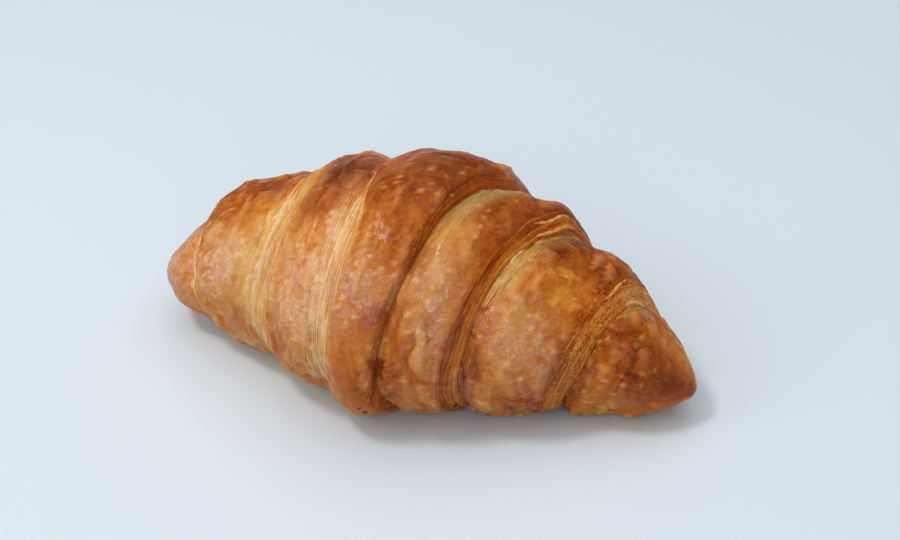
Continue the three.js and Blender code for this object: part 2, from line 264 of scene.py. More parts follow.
def shapeOver(x, angles, creases):
    # places in millimetres and the fields that the finishes read
    nearLeft = 1 - (x - roll["leftEnd"]) / roll["leftRounding"]
    nearRight = 1 - (roll["rightEnd"] - x) / roll["rightRounding"]
    tipRound = np.sqrt(1 - np.clip(np.maximum(nearLeft, nearRight), 0, 1) ** 2)
    height = smoothThrough(roll["height"], x)
    halfWidth = smoothThrough(roll["halfWidth"], x) * tipRound + 1e-6
    axis = smoothThrough(roll["lift"], x) + roll["axisShare"] * height
    halfHeight = (1 - roll["axisShare"]) * height * tipRound + 1e-6
    turn = np.radians(angles)
    across, up = np.cos(turn) + 0 * x, np.sin(turn) + 0 * x
    plain = 1 / np.hypot(across / halfWidth, up / halfHeight)

    crown = crease["crown"] * (1 - (x / roll["rightEnd"]) ** 4)
    depth = np.zeros_like(x)
    names = ("cutEdge", "leafPlace", "flankPlace", "covered", "alongEdge", "edgeTone", "edgeLines",
             "paleBrinkAndHighlight", "greenShade", "fuzz", "ruddy", "lipShiftAndShade", "coveredShiftAndShade")
    fields = {name: np.zeros_like(x) for name in names}
    fields["flankPlace"] += 20
    for one in creases:
        under, beyond, t, strength = besideCrease(one, x)
        cut, wound = one["cut"], one["turn"]
        depth += under
        nearCrease = np.exp(-(((x - one["x"]) / crease["crownFade"]) ** 2))
        crown = crown * (1 - nearCrease * np.minimum(1, one["depth"] / crease["crownDepth"]))
        covering = strength * (beyond < 0)
        onEdge = covering * np.clip((cut["bare"] + cut["soft"] - t) / cut["soft"], 0, 1)
        onFlank = (beyond >= 0) & (beyond < one["flank"])
        wobble = waveSum(crease["toneWobble"], wound)
        edge = cut["tone"] + smoothThrough(cut["across"], t + wobble * np.clip(t * 4, 0, 1))
        edge = edge + cut["atTop"] * np.clip((angles - crease["topFrom"]) / crease["topOver"], 0, 1)
        seen = (beyond >= 0) & (beyond < crease["flankSeen"])
        for key, where, value in (
                ("leafPlace", onEdge > 0, -beyond), ("fuzz", onEdge > 0, cut["fuzz"]),
                ("edgeTone", onEdge > 0, edge), ("edgeLines", onEdge > 0, cut["lines"]),
                ("flankPlace", seen, beyond),
                ("alongEdge", (onEdge > 0) | onFlank, wound * crease["turnLength"] + 0 * x)):
            fields[key] = np.where(where, value, fields[key])
        fields["cutEdge"] = np.maximum(fields["cutEdge"], onEdge)
        pastBare = np.maximum(0, -beyond - cut["bare"] * one["width"])
        fields["ruddy"] += covering * np.exp(-pastBare / crease["ruddyFade"]) * cut["ruddy"]
        # a lighter line along each crease: the pale crest of the outer leaf, partly a painted highlight on it
        nearBrink = cut["paleBrinkAndHighlight"] * np.exp(-np.abs(beyond) / crease["brinkFade"])
        fields["paleBrinkAndHighlight"] += nearBrink * np.minimum(1, one["depth"] / crease["brinkDepth"])
        shade = strength * (beyond >= 0) * np.clip((cut["reach"] - beyond) / crease["shadeOver"], 0, 1)
        # painted shade: the pale dough of the covered flank turns greenish in front
        inFront = np.clip((crease["greenUntil"] - angles) / crease["greenOver"], 0, 1)
        fields["greenShade"] += shade * cut["greenShade"] * inFront
        fields["covered"] += shade
        # the covered flank's tone: paler where the oven hardly reached it, and painted shade in the crease
        # where it is darker
        fields["coveredShiftAndShade"] += shade * smoothThrough(one["tones"]["coveredToneAndShade"], wound)
        # the lip darkens: partly caramel, partly painted shade
        lip = covering * np.exp(-pastBare / cut["lip"])
        fields["lipShiftAndShade"] += lip * smoothThrough(one["tones"]["lipToneAndShade"], wound)

    swell = np.zeros_like(x)
    for place, angle, rise, reach, spread in swellings:
        apart = turnApart(angles, angle)
        swell += rise * np.exp(-(((x - place) / reach) ** 2) - (apart / spread) ** 2)
    for rise, alongX, aroundRoll, phase in lumpWaves:
        swell += rise * np.sin(alongX * x + aroundRoll * turn + phase)

    radius = plain - (depth - crown - swell) * tipRound
    toFloor = np.where(up < -1e-3, axis / np.maximum(-up, 1e-3), 1e6)
    blend = np.clip(0.5 + 0.5 * (toFloor - radius) / roll["footBlend"], 0, 1)
    kept = toFloor + (radius - toFloor) * blend - roll["footBlend"] * blend * (1 - blend)
    y = smoothThrough(roll["sway"], x) - kept * across
    z = axis + kept * up
    fields["around"] = angles + 0 * x
    return np.stack([x, y, z], -1), fields


def rowOffsets(one, goingRight, room):
    if (one["side"] > 0) != goingRight:
        steps = np.linspace(0, 1, fineGrid["edgeRows"] + 1)[1:, None] * one["width"]
        offsets = np.vstack([steps, one["width"] + np.array(fineGrid["lipPlaces"])[:, None]])
    else:
        offsets = np.array(fineGrid["flankPlaces"])[:, None] * one["flank"] + 0 * one["x"]
    offsets = offsets * np.minimum(1, fineGrid["roomShare"] * room / offsets[-1])
    return one["x"] + (offsets if goingRight else -offsets)


def rowPlaces(creases):
    count = fineGrid["tipRows"]
    spacing = (1 - np.cos(np.arange(1, count + 1) / (count + 1) * math.pi / 2))[:, None]
    first, last = creases[0], creases[-1]
    inner = rowOffsets(first, False, first["x"] - roll["leftEnd"])[::-1]
    rows = [roll["leftEnd"] + (inner[0] - roll["leftEnd"]) * spacing, inner]
    for here, after in zip(creases, creases[1:]):
        room = after["x"] - here["x"]
        start = rowOffsets(here, True, room)
        end = rowOffsets(after, False, room)[::-1]
        share = (np.arange(1, fineGrid["bandRows"] + 1) / (fineGrid["bandRows"] + 1))[:, None]
        rows += [here["x"][None], start, start[-1] + (end[0] - start[-1]) * share, end]
    outer = rowOffsets(last, True, roll["rightEnd"] - last["x"])
    rows += [last["x"][None], outer, (roll["rightEnd"] - (roll["rightEnd"] - outer[-1]) * spacing)[::-1]]
    return np.vstack(rows)


def footprintShift(points):
    # the part's origin is the middle of its footprint
    middle = (points.min(0) + points.max(0)) / 2
    return np.array([-middle[0], -middle[1], -points[:, 2].min()])


def placed(name, data):
    thing = bpy.data.objects.new(name, data)
    bpy.context.scene.collection.objects.link(thing)
    return thing


def keepValues(data, key, values):
    layer = data.attributes.new(key, "FLOAT", "POINT")
    layer.data.foreach_set("value", np.asarray(values, np.float32))


def rolledDough(name):
    columns = fineGrid["columns"]
    angles = crease["tailAngle"] + 360 * np.arange(columns) / columns
    creases = creasesAt(angles)
    x = rowPlaces(creases)
    places, fields = shapeOver(x, angles[None, :], creases)
    rows = x.shape[0]
    index = np.arange(rows * columns).reshape(rows, columns)
    quads = np.stack([index[:-1, :-1], index[1:, :-1], index[1:, 1:], index[:-1, 1:]], -1).reshape(-1, 4)

    # under the tail the creases run on into the next ones, so both sides meet in order of x
    seam = []
    a = b = 0
    while a < rows - 1 or b < rows - 1:
        if a < rows - 1 and (b == rows - 1 or x[a + 1, -1] < x[b + 1, 0]):
            seam.append((index[a, -1], index[a + 1, -1], index[b, 0]))
            a += 1
        else:
            seam.append((index[a, -1], index[b + 1, 0], index[b, 0]))
            b += 1
    left, right = rows * columns, rows * columns + 1
    around = [(j, (j + 1) % columns) for j in range(columns)]
    caps = [(left, index[0, j], index[0, k]) for j, k in around]
    caps += [(right, index[-1, k], index[-1, j]) for j, k in around]

    ends = np.array([roll["leftEnd"], roll["rightEnd"]])
    endPlaces, endFields = shapeOver(ends, np.zeros(2), [])
    points = np.vstack([places.reshape(-1, 3), endPlaces])
    shift = footprintShift(points)
    points = (points + shift) * mm
    faces = quads.tolist() + [tuple(int(v) for v in tri) for tri in seam + caps]
    mesh = bpy.data.meshes.new(name)
    mesh.from_pydata(points.tolist(), [], faces)
    for key, values in fields.items():
        keepValues(mesh, key, np.concatenate([values.ravel(), endFields[key]]))
    mesh.shade_smooth()
    mesh.validate()
    piece = placed(name, mesh)
    print(name, "has", len(mesh.vertices), "points,", len(quads) * 2 + len(seam) + len(caps), "triangles")
    return piece, shift


def feed(tree, socket, value):
    # links another socket's value, or sets a plain one
    if isinstance(value, bpy.types.NodeSocket):
        tree.links.new(value, socket)
    else:
        socket.default_value = value


def nodeIn(tree, kind, inputs=None, **settings):
    node = tree.nodes.new(kind)
    for key, value in settings.items():
        setattr(node, key, value)
    for key, value in (inputs or {}).items():
        feed(tree, node.inputs[key], value)
    return node


def calc(tree, operation, a, b=0.0, c=0.0, clamp=False):
    return nodeIn(tree, "ShaderNodeMath", {0: a, 1: b, 2: c}, operation=operation, use_clamp=clamp).outputs[0]


def times(tree, a, b, clamp=False):
    return calc(tree, "MULTIPLY", a, b, clamp=clamp)


def timesPlus(tree, a, b, c, clamp=False):
    return calc(tree, "MULTIPLY_ADD", a, b, c, clamp)


def minus(tree, a, b, clamp=False):
    return calc(tree, "SUBTRACT", a, b, clamp=clamp)


def vectorCalc(tree, operation, a, b):
    return nodeIn(tree, "ShaderNodeVectorMath", {0: a, 1: b}, operation=operation).outputs[0]


def scaled(tree, vector, scale):
    return nodeIn(tree, "ShaderNodeVectorMath", {0: vector, "Scale": scale}, operation="SCALE").outputs[0]


def axisOf(tree, vector, number):
    return nodeIn(tree, "ShaderNodeSeparateXYZ", {"Vector": vector}).outputs[number]


def asVector(tree, x, y=0.0, z=0.0):
    return nodeIn(tree, "ShaderNodeCombineXYZ", {"X": x, "Y": y, "Z": z}).outputs[0]


def noise(tree, place, scale, detail, roughness=0.5, distortion=0.0, output=0):
    values = {"Vector": place, "Scale": scale, "Detail": detail, "Roughness": roughness,
              "Distortion": distortion}
    return nodeIn(tree, "ShaderNodeTexNoise", values).outputs[output]


def spread(tree, value, fromLow, fromHigh, toLow=0.0, toHigh=1.0):
    # a soft step from one range to another
    values = {"Value": value, "From Min": fromLow, "From Max": fromHigh, "To Min": toLow, "To Max": toHigh}
    return nodeIn(tree, "ShaderNodeMapRange", values, interpolation_type="SMOOTHSTEP").outputs["Result"]


def mixColour(tree, share, a, b, blend="MIX"):
    values = {0: share, 6: a, 7: b}
    return nodeIn(tree, "ShaderNodeMix", values, data_type="RGBA", blend_type=blend).outputs[2]


def geometryTree(name, inputs):
    # inputs: name -> (socket type, default value)
    tree = bpy.data.node_groups.new(name, "GeometryNodeTree")
    tree.interface.new_socket("Geometry", in_out="INPUT", socket_type="NodeSocketGeometry")
    for key, (kind, value) in inputs.items():
        socket = tree.interface.new_socket(key, in_out="INPUT", socket_type=kind)
        if value is not None:
            socket.default_value = value
    tree.interface.new_socket("Geometry", in_out="OUTPUT", socket_type="NodeSocketGeometry")
    entry = nodeIn(tree, "NodeGroupInput")
    return tree, entry


def finishTree(tree, entry, geometry):
    realized = nodeIn(tree, "GeometryNodeRealizeInstances", {"Geometry": geometry}).outputs[0]
    values = {"Geometry": realized, "Material": entry.outputs["material"]}
    painted = nodeIn(tree, "GeometryNodeSetMaterial", values).outputs[0]
    nodeIn(tree, "NodeGroupOutput", {0: painted})


def named(tree, key):
    return nodeIn(tree, "GeometryNodeInputNamedAttribute", {"Name": key}, data_type="FLOAT").outputs[0]


def stored(tree, geometry, key, value, domain="POINT"):
    values = {"Geometry": geometry, "Name": key, "Value": value}
    return nodeIn(tree, "GeometryNodeStoreNamedAttribute", values, data_type="FLOAT",
                  domain=domain).outputs[0]


def settle(piece, tree, values):
    # runs a tree on a piece with its own values, and keeps the result as a plain mesh
    modifier = piece.modifiers.new(tree.name, "NODES")
    modifier.node_group = tree
    for item in tree.interface.items_tree:
        if item.item_type == "SOCKET" and item.in_out == "INPUT" and item.name in values:
            modifier[item.identifier] = values[item.name]
    piece.update_tag()
    graph = bpy.context.evaluated_depsgraph_get()
    seen = piece.evaluated_get(graph)
    result = bpy.data.meshes.new_from_object(seen, preserve_all_data_layers=True, depsgraph=graph)
    piece.modifiers.clear()
    piece.data = result
    result.shade_smooth()
    print(piece.name, "settled with", sum(len(p.vertices) - 2 for p in result.polygons), "triangles")
    return piece


# how the bake falls over the surface
baking = {
    "skinTone": 0.42,        # 0 is raw and pale, 1 is nearly black
    "topTone": 0.14,
    # painted light: the skin is paler near the floor, as if lit from below by it
    "footBounceLight": -0.14,
    "backTone": 0.1,
    "markTone": -0.14,
    "topFrom": 30,           # millimetres above the floor
    "topOver": 30,
    "footBelow": 4.5,
    "footOver": 3,
    "backFrom": (120, 60),   # degrees, and over how many
    "backTo": (250, 40),
    # x, angle, how much darker, reach along x, spread in degrees
    "spots": [
        (-58, 95, 0.12, 9, 30), (-44, 94, 0.21, 8, 22), (-18, 97, 0.30, 9, 22), (9, 96, 0.24, 13, 30),
        (11, 34, 0.06, 3, 14), (4, 68, -0.04, 5, 14), (0, -14, 0.16, 8, 26), (6, 40, 0.04, 4, 20),
        (-4, 52, -0.04, 6, 18), (25, 36, -0.06, 6, 20), (64, 38, 0.12, 8, 26), (9.5, -6, 0.04, 4, 26),
        (19, 38, -0.08, 6, 16), (46, 22, 0.05, 8, 20), (41, 95, 0.38, 7, 24), (57, 104, 0.16, 7, 26),
        (76, 30, 0.24, 7, 60), (62, 60, 0.10, 5, 14), (54, 80, 0.12, 3, 14), (3, 21, 0.05, 5, 5),
        (35.5, -26, 0.2, 4, 6), (41, -16, 0.18, 8, 22), (-50, 40, -0.10, 12, 24), (-42, 0, 0.18, 7, 18),
        (-56, -4, 0.12, 7, 16), (-25, 4, 0.16, 5, 14), (-52, 62, 0.08, 7, 12), (-20, 66, 0.10, 5, 12),
        (-18, 45, -0.12, 8, 22), (36, 30, -0.10, 7, 18), (44, 68, -0.08, 6, 16), (67, 12, 0.24, 12, 60),
        (-22, 26, -0.12, 9, 28), (-45, 25, -0.06, 16, 44), (52, 12, 0.05, 9, 26), (17, 64, -0.12, 5, 14),
        (26, 78, 0.10, 4, 12), (-70, 10, 0.06, 8, 40), (-30, -10, 0.08, 9, 26),
    ],
    # x, angle, amount, reach, spread: dull pinkish patches full of tiny bubbles
    "blooms": [
        (-51, 28, 1.0, 8, 22), (-70, 30, 0.9, 8, 60), (-2, 31, 1.0, 8, 16), (-20, 20, 0.9, 7, 16),
        (18.5, 24, 0.9, 4.5, 22), (19, 40, 0.5, 5, 14), (37, 24, 0.9, 8, 20), (45, 4, 0.3, 6, 20),
        (24, -24, 0.4, 6, 20), (-22, 38, 0.5, 6, 16), (-44, 44, 0.6, 7, 14), (-12, 40, 0.7, 4, 40),
        (-32, 26, 0.4, 4, 20),
    ],
    # x, angle, amount, reach, spread: single pale blisters
    "marks": [
        (17.8, 4, 0.6, 0.5, 4), (15.6, 18, 0.5, 0.9, 4), (13.8, 24, 0.5, 0.7, 4),
        (45, 71, 0.8, 2.4, 3.5), (42, 66, 0.4, 1.2, 3), (65, 47, 0.8, 2.0, 7), (59, 20, 0.6, 0.7, 6),
        (44, 52, 0.7, 1.0, 5), (38, 74, 0.4, 2.4, 5), (-47, 66, 0.7, 1.5, 4), (-52, 58, 0.6, 1.3, 4),
        (-42, 72, 0.6, 1.4, 4), (-55, 36, 0.6, 1.2, 5), (-60, 12, 0.7, 1.2, 5), (-61, -8, 0.6, 1.0, 5),
        (-24, 18, 0.6, 1.2, 5), (-19, -6, 0.6, 1.6, 5), (-15, -22, 0.6, 2.4, 6), (-26, 84, 0.5, 1.8, 3),
        (-3, 82, 0.4, 1.4, 3), (4, 84, 0.4, 1.2, 3), (22, 86, 0.4, 2.0, 3), (-7, 8, 0.5, 0.9, 5),
        (49, 54, 0.7, 0.8, 3), (51, 38, 0.6, 0.9, 5), (36, 44, 0.5, 1.4, 3), (-66, 40, 0.5, 0.7, 5),
        (-48, 18, 0.6, 0.8, 4), (-51, 6, 0.6, 0.7, 4), (-44, 34, 0.6, 0.8, 4), (-21, 34, 0.6, 1.0, 3),
        (62, 4, 0.5, 1.6, 4), (68, 30, 0.5, 0.8, 8), (57, -6, 0.5, 0.7, 8), (15, -16, 0.6, 0.6, 7),
    ],
    # x, angle, amount, reach, spread: where burnt crumbs cling
    "crumbs": [
        (0, -32, 1, 2.5, 8), (17, -36, 1, 4, 7), (27, -36, 0.6, 3, 7), (42, -38, 0.6, 4, 7),
        (66, -30, 0.5, 3, 9), (-16, -30, 0.4, 3, 7),
    ],
    # x, angle, amount, reach, spread: skin that turned red
    "reds": [
        (-2, 24, 0.55, 7, 22), (-2, -16, 0.4, 8, 26), (69, -2, 0.75, 8, 34), (27, 30, 0.35, 3, 30),
        (39, 8, 0.35, 5, 26), (52, 40, 0.5, 3, 24), (56, 16, 0.4, 3, 30), (-40, 96, 0.4, 9, 22),
        (-26, 2, 0.4, 4, 16), (-20, 96, 0.4, 9, 20), (-50, 30, 0.2, 9, 30), (74, 40, 0.5, 5, 60),
        (-68, 30, 0.3, 6, 60),
    ],
    # x, angle, amount, reach, spread: sleek golden skin that didn't blister
    "smooths": [
        (1, 56, 0.3, 7, 18), (42, 64, 0.55, 8, 20), (16, 62, 0.9, 6, 18), (-22, 62, 0.8, 5, 22),
        (-40, 64, 0.8, 6, 14), (22, 20, 0.7, 3, 22), (-41, 2, 0.8, 7, 16), (-22, -6, 0.6, 6, 14),
        (-56, -4, 0.5, 7, 16), (61, 92, 0.8, 4, 24), (48, 30, 0.4, 4, 16),
    ],
}


def paintBake(piece):
    data = piece.data
    count = len(data.vertices)

    def read(key):
        values = np.empty(count, np.float32)
        data.attributes[key].data.foreach_get("value", values)
        return values

    places = np.empty(count * 3, np.float32)
    data.vertices.foreach_get("co", places)
    places = places.reshape(-1, 3) / mm
    x = places[:, 0] + (roll["leftEnd"] + roll["rightEnd"]) / 2
    around = read("around")

    def sumSpots(spots, power=1):
        total = np.zeros(count)
        for place, angle, amount, reach, width in spots:
            apart = turnApart(around, angle)
            total += amount * np.exp(-((((x - place) / reach) ** 2 + (apart / width) ** 2) ** power))
        return total

    def share(kind):
        return np.clip(sumSpots(baking[kind]), 0, 1)

    cut = read("cutEdge")
    height = places[:, 2]
    # the covered flank's and the lip's shifts both hold painted shade near the creases
    skin = baking["skinTone"] + sumSpots(baking["spots"]) + read("coveredShiftAndShade") + read("lipShiftAndShade")
    skin += baking["topTone"] * np.clip((height - baking["topFrom"]) / baking["topOver"], 0, 1)
    # painted light near the floor
    skin += baking["footBounceLight"] * np.clip((baking["footBelow"] - height) / baking["footOver"], 0, 1)
    marks = np.clip(sumSpots(baking["marks"], 4), 0, 1)
    skin += baking["markTone"] * marks
    backStart, startOver = baking["backFrom"]
    backEnd, endOver = baking["backTo"]
    onBack = baking["backTone"] * np.clip((around - backStart) / startOver, 0, 1)
    skin += onBack * np.clip((backEnd - around) / endOver, 0, 1)
    made = {
        # the brink line is taken off the tone: pale leaf crest and painted highlight
        "tone": skin * (1 - cut) + read("edgeTone") * cut - read("paleBrinkAndHighlight"),
        "bloom": share("blooms") * (1 - 0.3 * cut),
        "smooth": share("smooths") * (1 - cut),
        "mark": marks * (1 - cut),
        "red": share("reds") * (1 - cut),
        "crumb": share("crumbs") * (around < 0),
    }
    for key, values in made.items():
        keepValues(data, key, values)


# relief of the baked skin: bubbles, soft blisters and wrinkles
relief = {
    "bubbleSize": 2.4 * mm,
    "bubbleHeight": 0.34 * mm,
    "bubbleShare": 0.34,
    "blisterLength": 22,         # degrees round the roll
    "blisterWidth": 3.4 * mm,
    "blisterHeight": 0.50 * mm,
    "markHeight": 0.34 * mm,
    "furrowDepth": 0.32 * mm,
    "wrinkleSize": 5.0 * mm,
    "wrinkleDepth": 0.40 * mm,
    "grainSize": 1.3 * mm,
    "grainHeight": 0.13 * mm,
    "flatBelow": 0.4 * mm,
    "calmFrom": 62 * mm,         # the tips blister less
    "calmTo": 73 * mm,
    "calmShare": 0.15,
    "bloomShare": 0.5,           # more bubbles in bloom
    "bendScale": 110,            # noises, per metre
    "bendAmount": 1.6,
    "furrowScale": 75,
    "wrinkleScale": 62,
}


def crustReliefTree():
    inputs = {key: ("NodeSocketFloat", value) for key, value in relief.items()}
    tree, entry = geometryTree("crustRelief", inputs | {"material": ("NodeSocketMaterial", None)})
    size = entry.outputs
    position = nodeIn(tree, "GeometryNodeInputPosition").outputs[0]
    normal = nodeIn(tree, "GeometryNodeInputNormal").outputs[0]
    skin = minus(tree, 1, named(tree, "cutEdge"), clamp=True)
    lively = timesPlus(tree, named(tree, "smooth"), -0.85, 1, clamp=True)
    lively = times(tree, lively, skin)
    x = axisOf(tree, position, 0)
    calm = spread(tree, calc(tree, "ABSOLUTE", x), size["calmFrom"], size["calmTo"], 1, size["calmShare"])
    lively = times(tree, lively, calm)

    def per(key):
        return calc(tree, "DIVIDE", 1, size[key])

    def cellsAt(place, scale, **settings):
        return nodeIn(tree, "ShaderNodeTexVoronoi", {"Vector": place, "Scale": scale}, **settings).outputs

    # small bubbles, each a low dome, thicker where the skin is in bloom
    cells = cellsAt(position, per("bubbleSize"))
    dome = spread(tree, cells["Distance"], 0.44, 0.04)
    share = timesPlus(tree, named(tree, "bloom"), size["bloomShare"], size["bubbleShare"])
    bubble = times(tree, dome, calc(tree, "LESS_THAN", axisOf(tree, cells["Color"], 0), share))
    bubble = times(tree, bubble, lively)

    # long blisters that follow the band, with furrows between some of them
    lengthwise = calc(tree, "DIVIDE", named(tree, "around"), size["blisterLength"])
    drawn = asVector(tree, times(tree, x, per("blisterWidth")), lengthwise)
    bend = noise(tree, position, size["bendScale"], 2, output="Color")
    drawn = vectorCalc(tree, "ADD", drawn, scaled(tree, bend, size["bendAmount"]))
    patches = cellsAt(drawn, 1.0, voronoi_dimensions="2D")
    rise = spread(tree, axisOf(tree, patches["Color"], 0), 0.35, 0.9)
    blister = times(tree, spread(tree, patches["Distance"], 0.50, 0.22), rise)
    blister = times(tree, blister, lively)
    border = cellsAt(drawn, 1.0, voronoi_dimensions="2D", feature="DISTANCE_TO_EDGE")["Distance"]
    somewhere = noise(tree, position, size["furrowScale"], 1)
    furrow = times(tree, spread(tree, border, 0.16, 0.0), spread(tree, somewhere, 0.47, 0.6))
    furrow = times(tree, furrow, lively)

    # creases in the skin where a noise crosses its middle
    ripple = noise(tree, position, per("wrinkleSize"), 3, 0.55, 1.1)
    wrinkle = spread(tree, calc(tree, "ABSOLUTE", minus(tree, ripple, 0.5)), 0.05, 0.0)
    elsewhere = noise(tree, position, size["wrinkleScale"], 1)
    wrinkle = times(tree, wrinkle, spread(tree, elsewhere, 0.5, 0.64))
    wrinkle = times(tree, wrinkle, lively)

    height = times(tree, bubble, size["bubbleHeight"])
    grain = minus(tree, noise(tree, position, per("grainSize"), 2), 0.5)
    raised = ((blister, "blisterHeight"), (named(tree, "mark"), "markHeight"), (grain, "grainHeight"))
    for field, key in raised:
        height = timesPlus(tree, field, size[key], height)
    for field, key in ((furrow, "furrowDepth"), (wrinkle, "wrinkleDepth")):
        height = minus(tree, height, times(tree, field, size[key]))
    # the base stays flat
    lifted = spread(tree, calc(tree, "DIVIDE", axisOf(tree, position, 2), size["flatBelow"]), 0.3, 6)
    offset = scaled(tree, normal, times(tree, height, lifted))

    values = {"Geometry": entry.outputs[0], "Offset": offset}
    moved = nodeIn(tree, "GeometryNodeSetPosition", values).outputs[0]
    sunken = calc(tree, "MAXIMUM", furrow, wrinkle)
    for key, value in (("bubble", bubble), ("blister", blister), ("furrow", sunken)):
        moved = stored(tree, moved, key, value)
    finishTree(tree, entry, moved)
    return tree


# tones of the dough, from raw to scorched
tones = [
    (0.00, (0.860, 0.600, 0.350, 1)),    # dough that the oven hardly reached
    (0.18, (0.760, 0.425, 0.165, 1)),
    (0.36, (0.640, 0.255, 0.036, 1)),
    (0.52, (0.490, 0.140, 0.010, 1)),
    (0.68, (0.335, 0.072, 0.003, 1)),
    (0.84, (0.185, 0.032, 0.001, 1)),
    (1.00, (0.080, 0.014, 0.001, 1)),    # scorched
]

# what golden and red patches do to the baked colour
warmth = {
    "golden": (1.0, 1.09, 0.78, 1),
    "red": (1.02, 0.82, 0.85, 1),
    "ruddy": (1.05, 0.74, 0.60, 1),
}


def socketGroup(name, inputs, outputs):
    group = bpy.data.node_groups.new(name, "ShaderNodeTree")
    for key, value in inputs.items():
        kind = "NodeSocketColor" if isinstance(value, tuple) else "NodeSocketFloat"
        group.interface.new_socket(key, in_out="INPUT", socket_type=kind).default_value = value
    for key, kind in outputs.items():
        group.interface.new_socket(key, in_out="OUTPUT", socket_type=kind)
    return group, nodeIn(group, "NodeGroupInput").outputs, nodeIn(group, "NodeGroupOutput").inputs


def bakedToneGroup():
    # turns a tone into the colour of baked dough, uneven at two sizes, here golden and there red
    inputs = {"Tone": 0.4, "Patches": 0.1, "Patch Size": 12 * mm, "Speckle": 0.06, "Speckle Size": 1.6 * mm,
              "Warmth": 1.0}
    outputs = {"Color": "NodeSocketColor", "Unevenness": "NodeSocketFloat"}
    group, given, out = socketGroup("bakedTone", inputs, outputs)
    place = nodeIn(group, "ShaderNodeTexCoord").outputs["Object"]
    drawn = vectorCalc(group, "MULTIPLY", place, (1.7, 1, 1))
    wide = noise(group, drawn, calc(group, "DIVIDE", 1, given["Patch Size"]), 4, 0.62, 0.8)
    small = noise(group, place, calc(group, "DIVIDE", 1, given["Speckle Size"]), 2, 0.6)
    warm = noise(group, drawn, calc(group, "DIVIDE", 0.7, given["Patch Size"]), 3, 0.6, 0.5)
    tone = given["Tone"]
    for field, key in ((wide, "Patches"), (small, "Speckle")):
        tone = calc(group, "ADD", tone, times(group, minus(group, field, 0.5), times(group, given[key], 4)))
    ramp = nodeIn(group, "ShaderNodeValToRGB", {"Fac": tone})
    stops = ramp.color_ramp.elements
    for i, (at, colour) in enumerate(tones):
        stop = stops[i] if i < 2 else stops.new(at)
        stop.position = at
        stop.color = colour
    colour = ramp.outputs[0]
    for key, start, end in (("golden", 0.50, 0.66), ("red", 0.48, 0.34)):
        share = times(group, spread(group, warm, start, end), given["Warmth"])
        colour = mixColour(group, share, colour, warmth[key], "MULTIPLY")
    group.links.new(colour, out["Color"])
    group.links.new(wide, out["Unevenness"])
    return group


def newFinish(name, look):
    # "shader" holds what is the same all over the surface
    finish = bpy.data.materials.new(name)
    finish.use_nodes = True
    tree = finish.node_tree
    shader = tree.nodes["Principled BSDF"]
    for socket, value in look["shader"].items():
        shader.inputs[socket].default_value = value
    return finish, tree, shader


def roughen(tree, shader, height, look):
    values = {"Height": height, "Strength": look["bumpStrength"], "Distance": look["bumpDistance"]}
    tree.links.new(nodeIn(tree, "ShaderNodeBump", values).outputs[0], shader.inputs["Normal"])


def attribute(tree, key):
    return nodeIn(tree, "ShaderNodeAttribute", attribute_name=key).outputs["Fac"]


def placeGroup(tree, group, values):
    return nodeIn(tree, "ShaderNodeGroup", values, node_tree=group)


crustLook = {
    "bloomColour": (0.700, 0.400, 0.300, 1),
    "bubbleColour": (0.860, 0.580, 0.320, 1),
    "blisterColour": (0.800, 0.500, 0.300, 1),
    "shadedColour": (0.440, 0.335, 0.120, 1),
    "shader": {"Roughness": 0.36, "Coat Weight": 0.14, "Coat Roughness": 0.14, "Coat IOR": 1.4,
               "Specular IOR Level": 0.13, "Specular Tint": (1.0, 0.76, 0.50, 1),
               "Subsurface Weight": 0.12, "Subsurface Radius": (1.0, 0.38, 0.12),
               "Subsurface Scale": 2.2 * mm},
    # how far each mark darkens the tone
    "toneShifts": {"edgeLine": 0.22, "edgeLeaf": 0.50, "shadeLeaf": 0.45, "shadeLine": 0.20, "bubble": -0.23,
                   "fineBubble": -0.12, "blister": -0.11, "furrow": 0.14},
    "tone": {"Patches": 0.12, "Patch Size": 8 * mm, "Speckle": 0.065, "Speckle Size": 1.1 * mm},
    "cutLines": 1.05,            # dark lines a millimetre, in the cut and on the flank
    "flankLines": 1.3,
    "brokenScale": 330,          # noises, per metre
    "frothScale": 1050,
    "poreScale": 1500,
    "goldenShare": 0.8,
    "bloomShare": 0.58,
    "bumpStrength": 1.0,
    "bumpDistance": 0.4 * mm,
}


def leafLineGroup():
    # thin dark lines between the dough's layers, which wander and come and go
    group, given, out = socketGroup("leafLines", {"Place": 0.0, "Along": 0.0, "Wobble": 0.9, "Seed": 0.0},
                                    {"Line": "NodeSocketFloat", "Leaf": "NodeSocketFloat"})
    slow = times(group, given["Along"], 0.055)
    drift = noise(group, asVector(group, slow, times(group, given["Place"], 0.3), given["Seed"]), 1.0, 3)
    phase = timesPlus(group, minus(group, drift, 0.5), times(group, given["Wobble"], 2.6), given["Place"])
    leaf = calc(group, "FLOOR", phase)
    off = calc(group, "ABSOLUTE", minus(group, calc(group, "FRACT", phase), 0.5))
    spot = asVector(group, times(group, given["Along"], 0.16), times(group, leaf, 7.3), given["Seed"])
    seen = noise(group, spot, 1.0, 1)
    line = times(group, spread(group, off, 0.26, 0.5), spread(group, seen, 0.36, 0.58))
    group.links.new(line, out["Line"])
    group.links.new(seen, out["Leaf"])
    return group


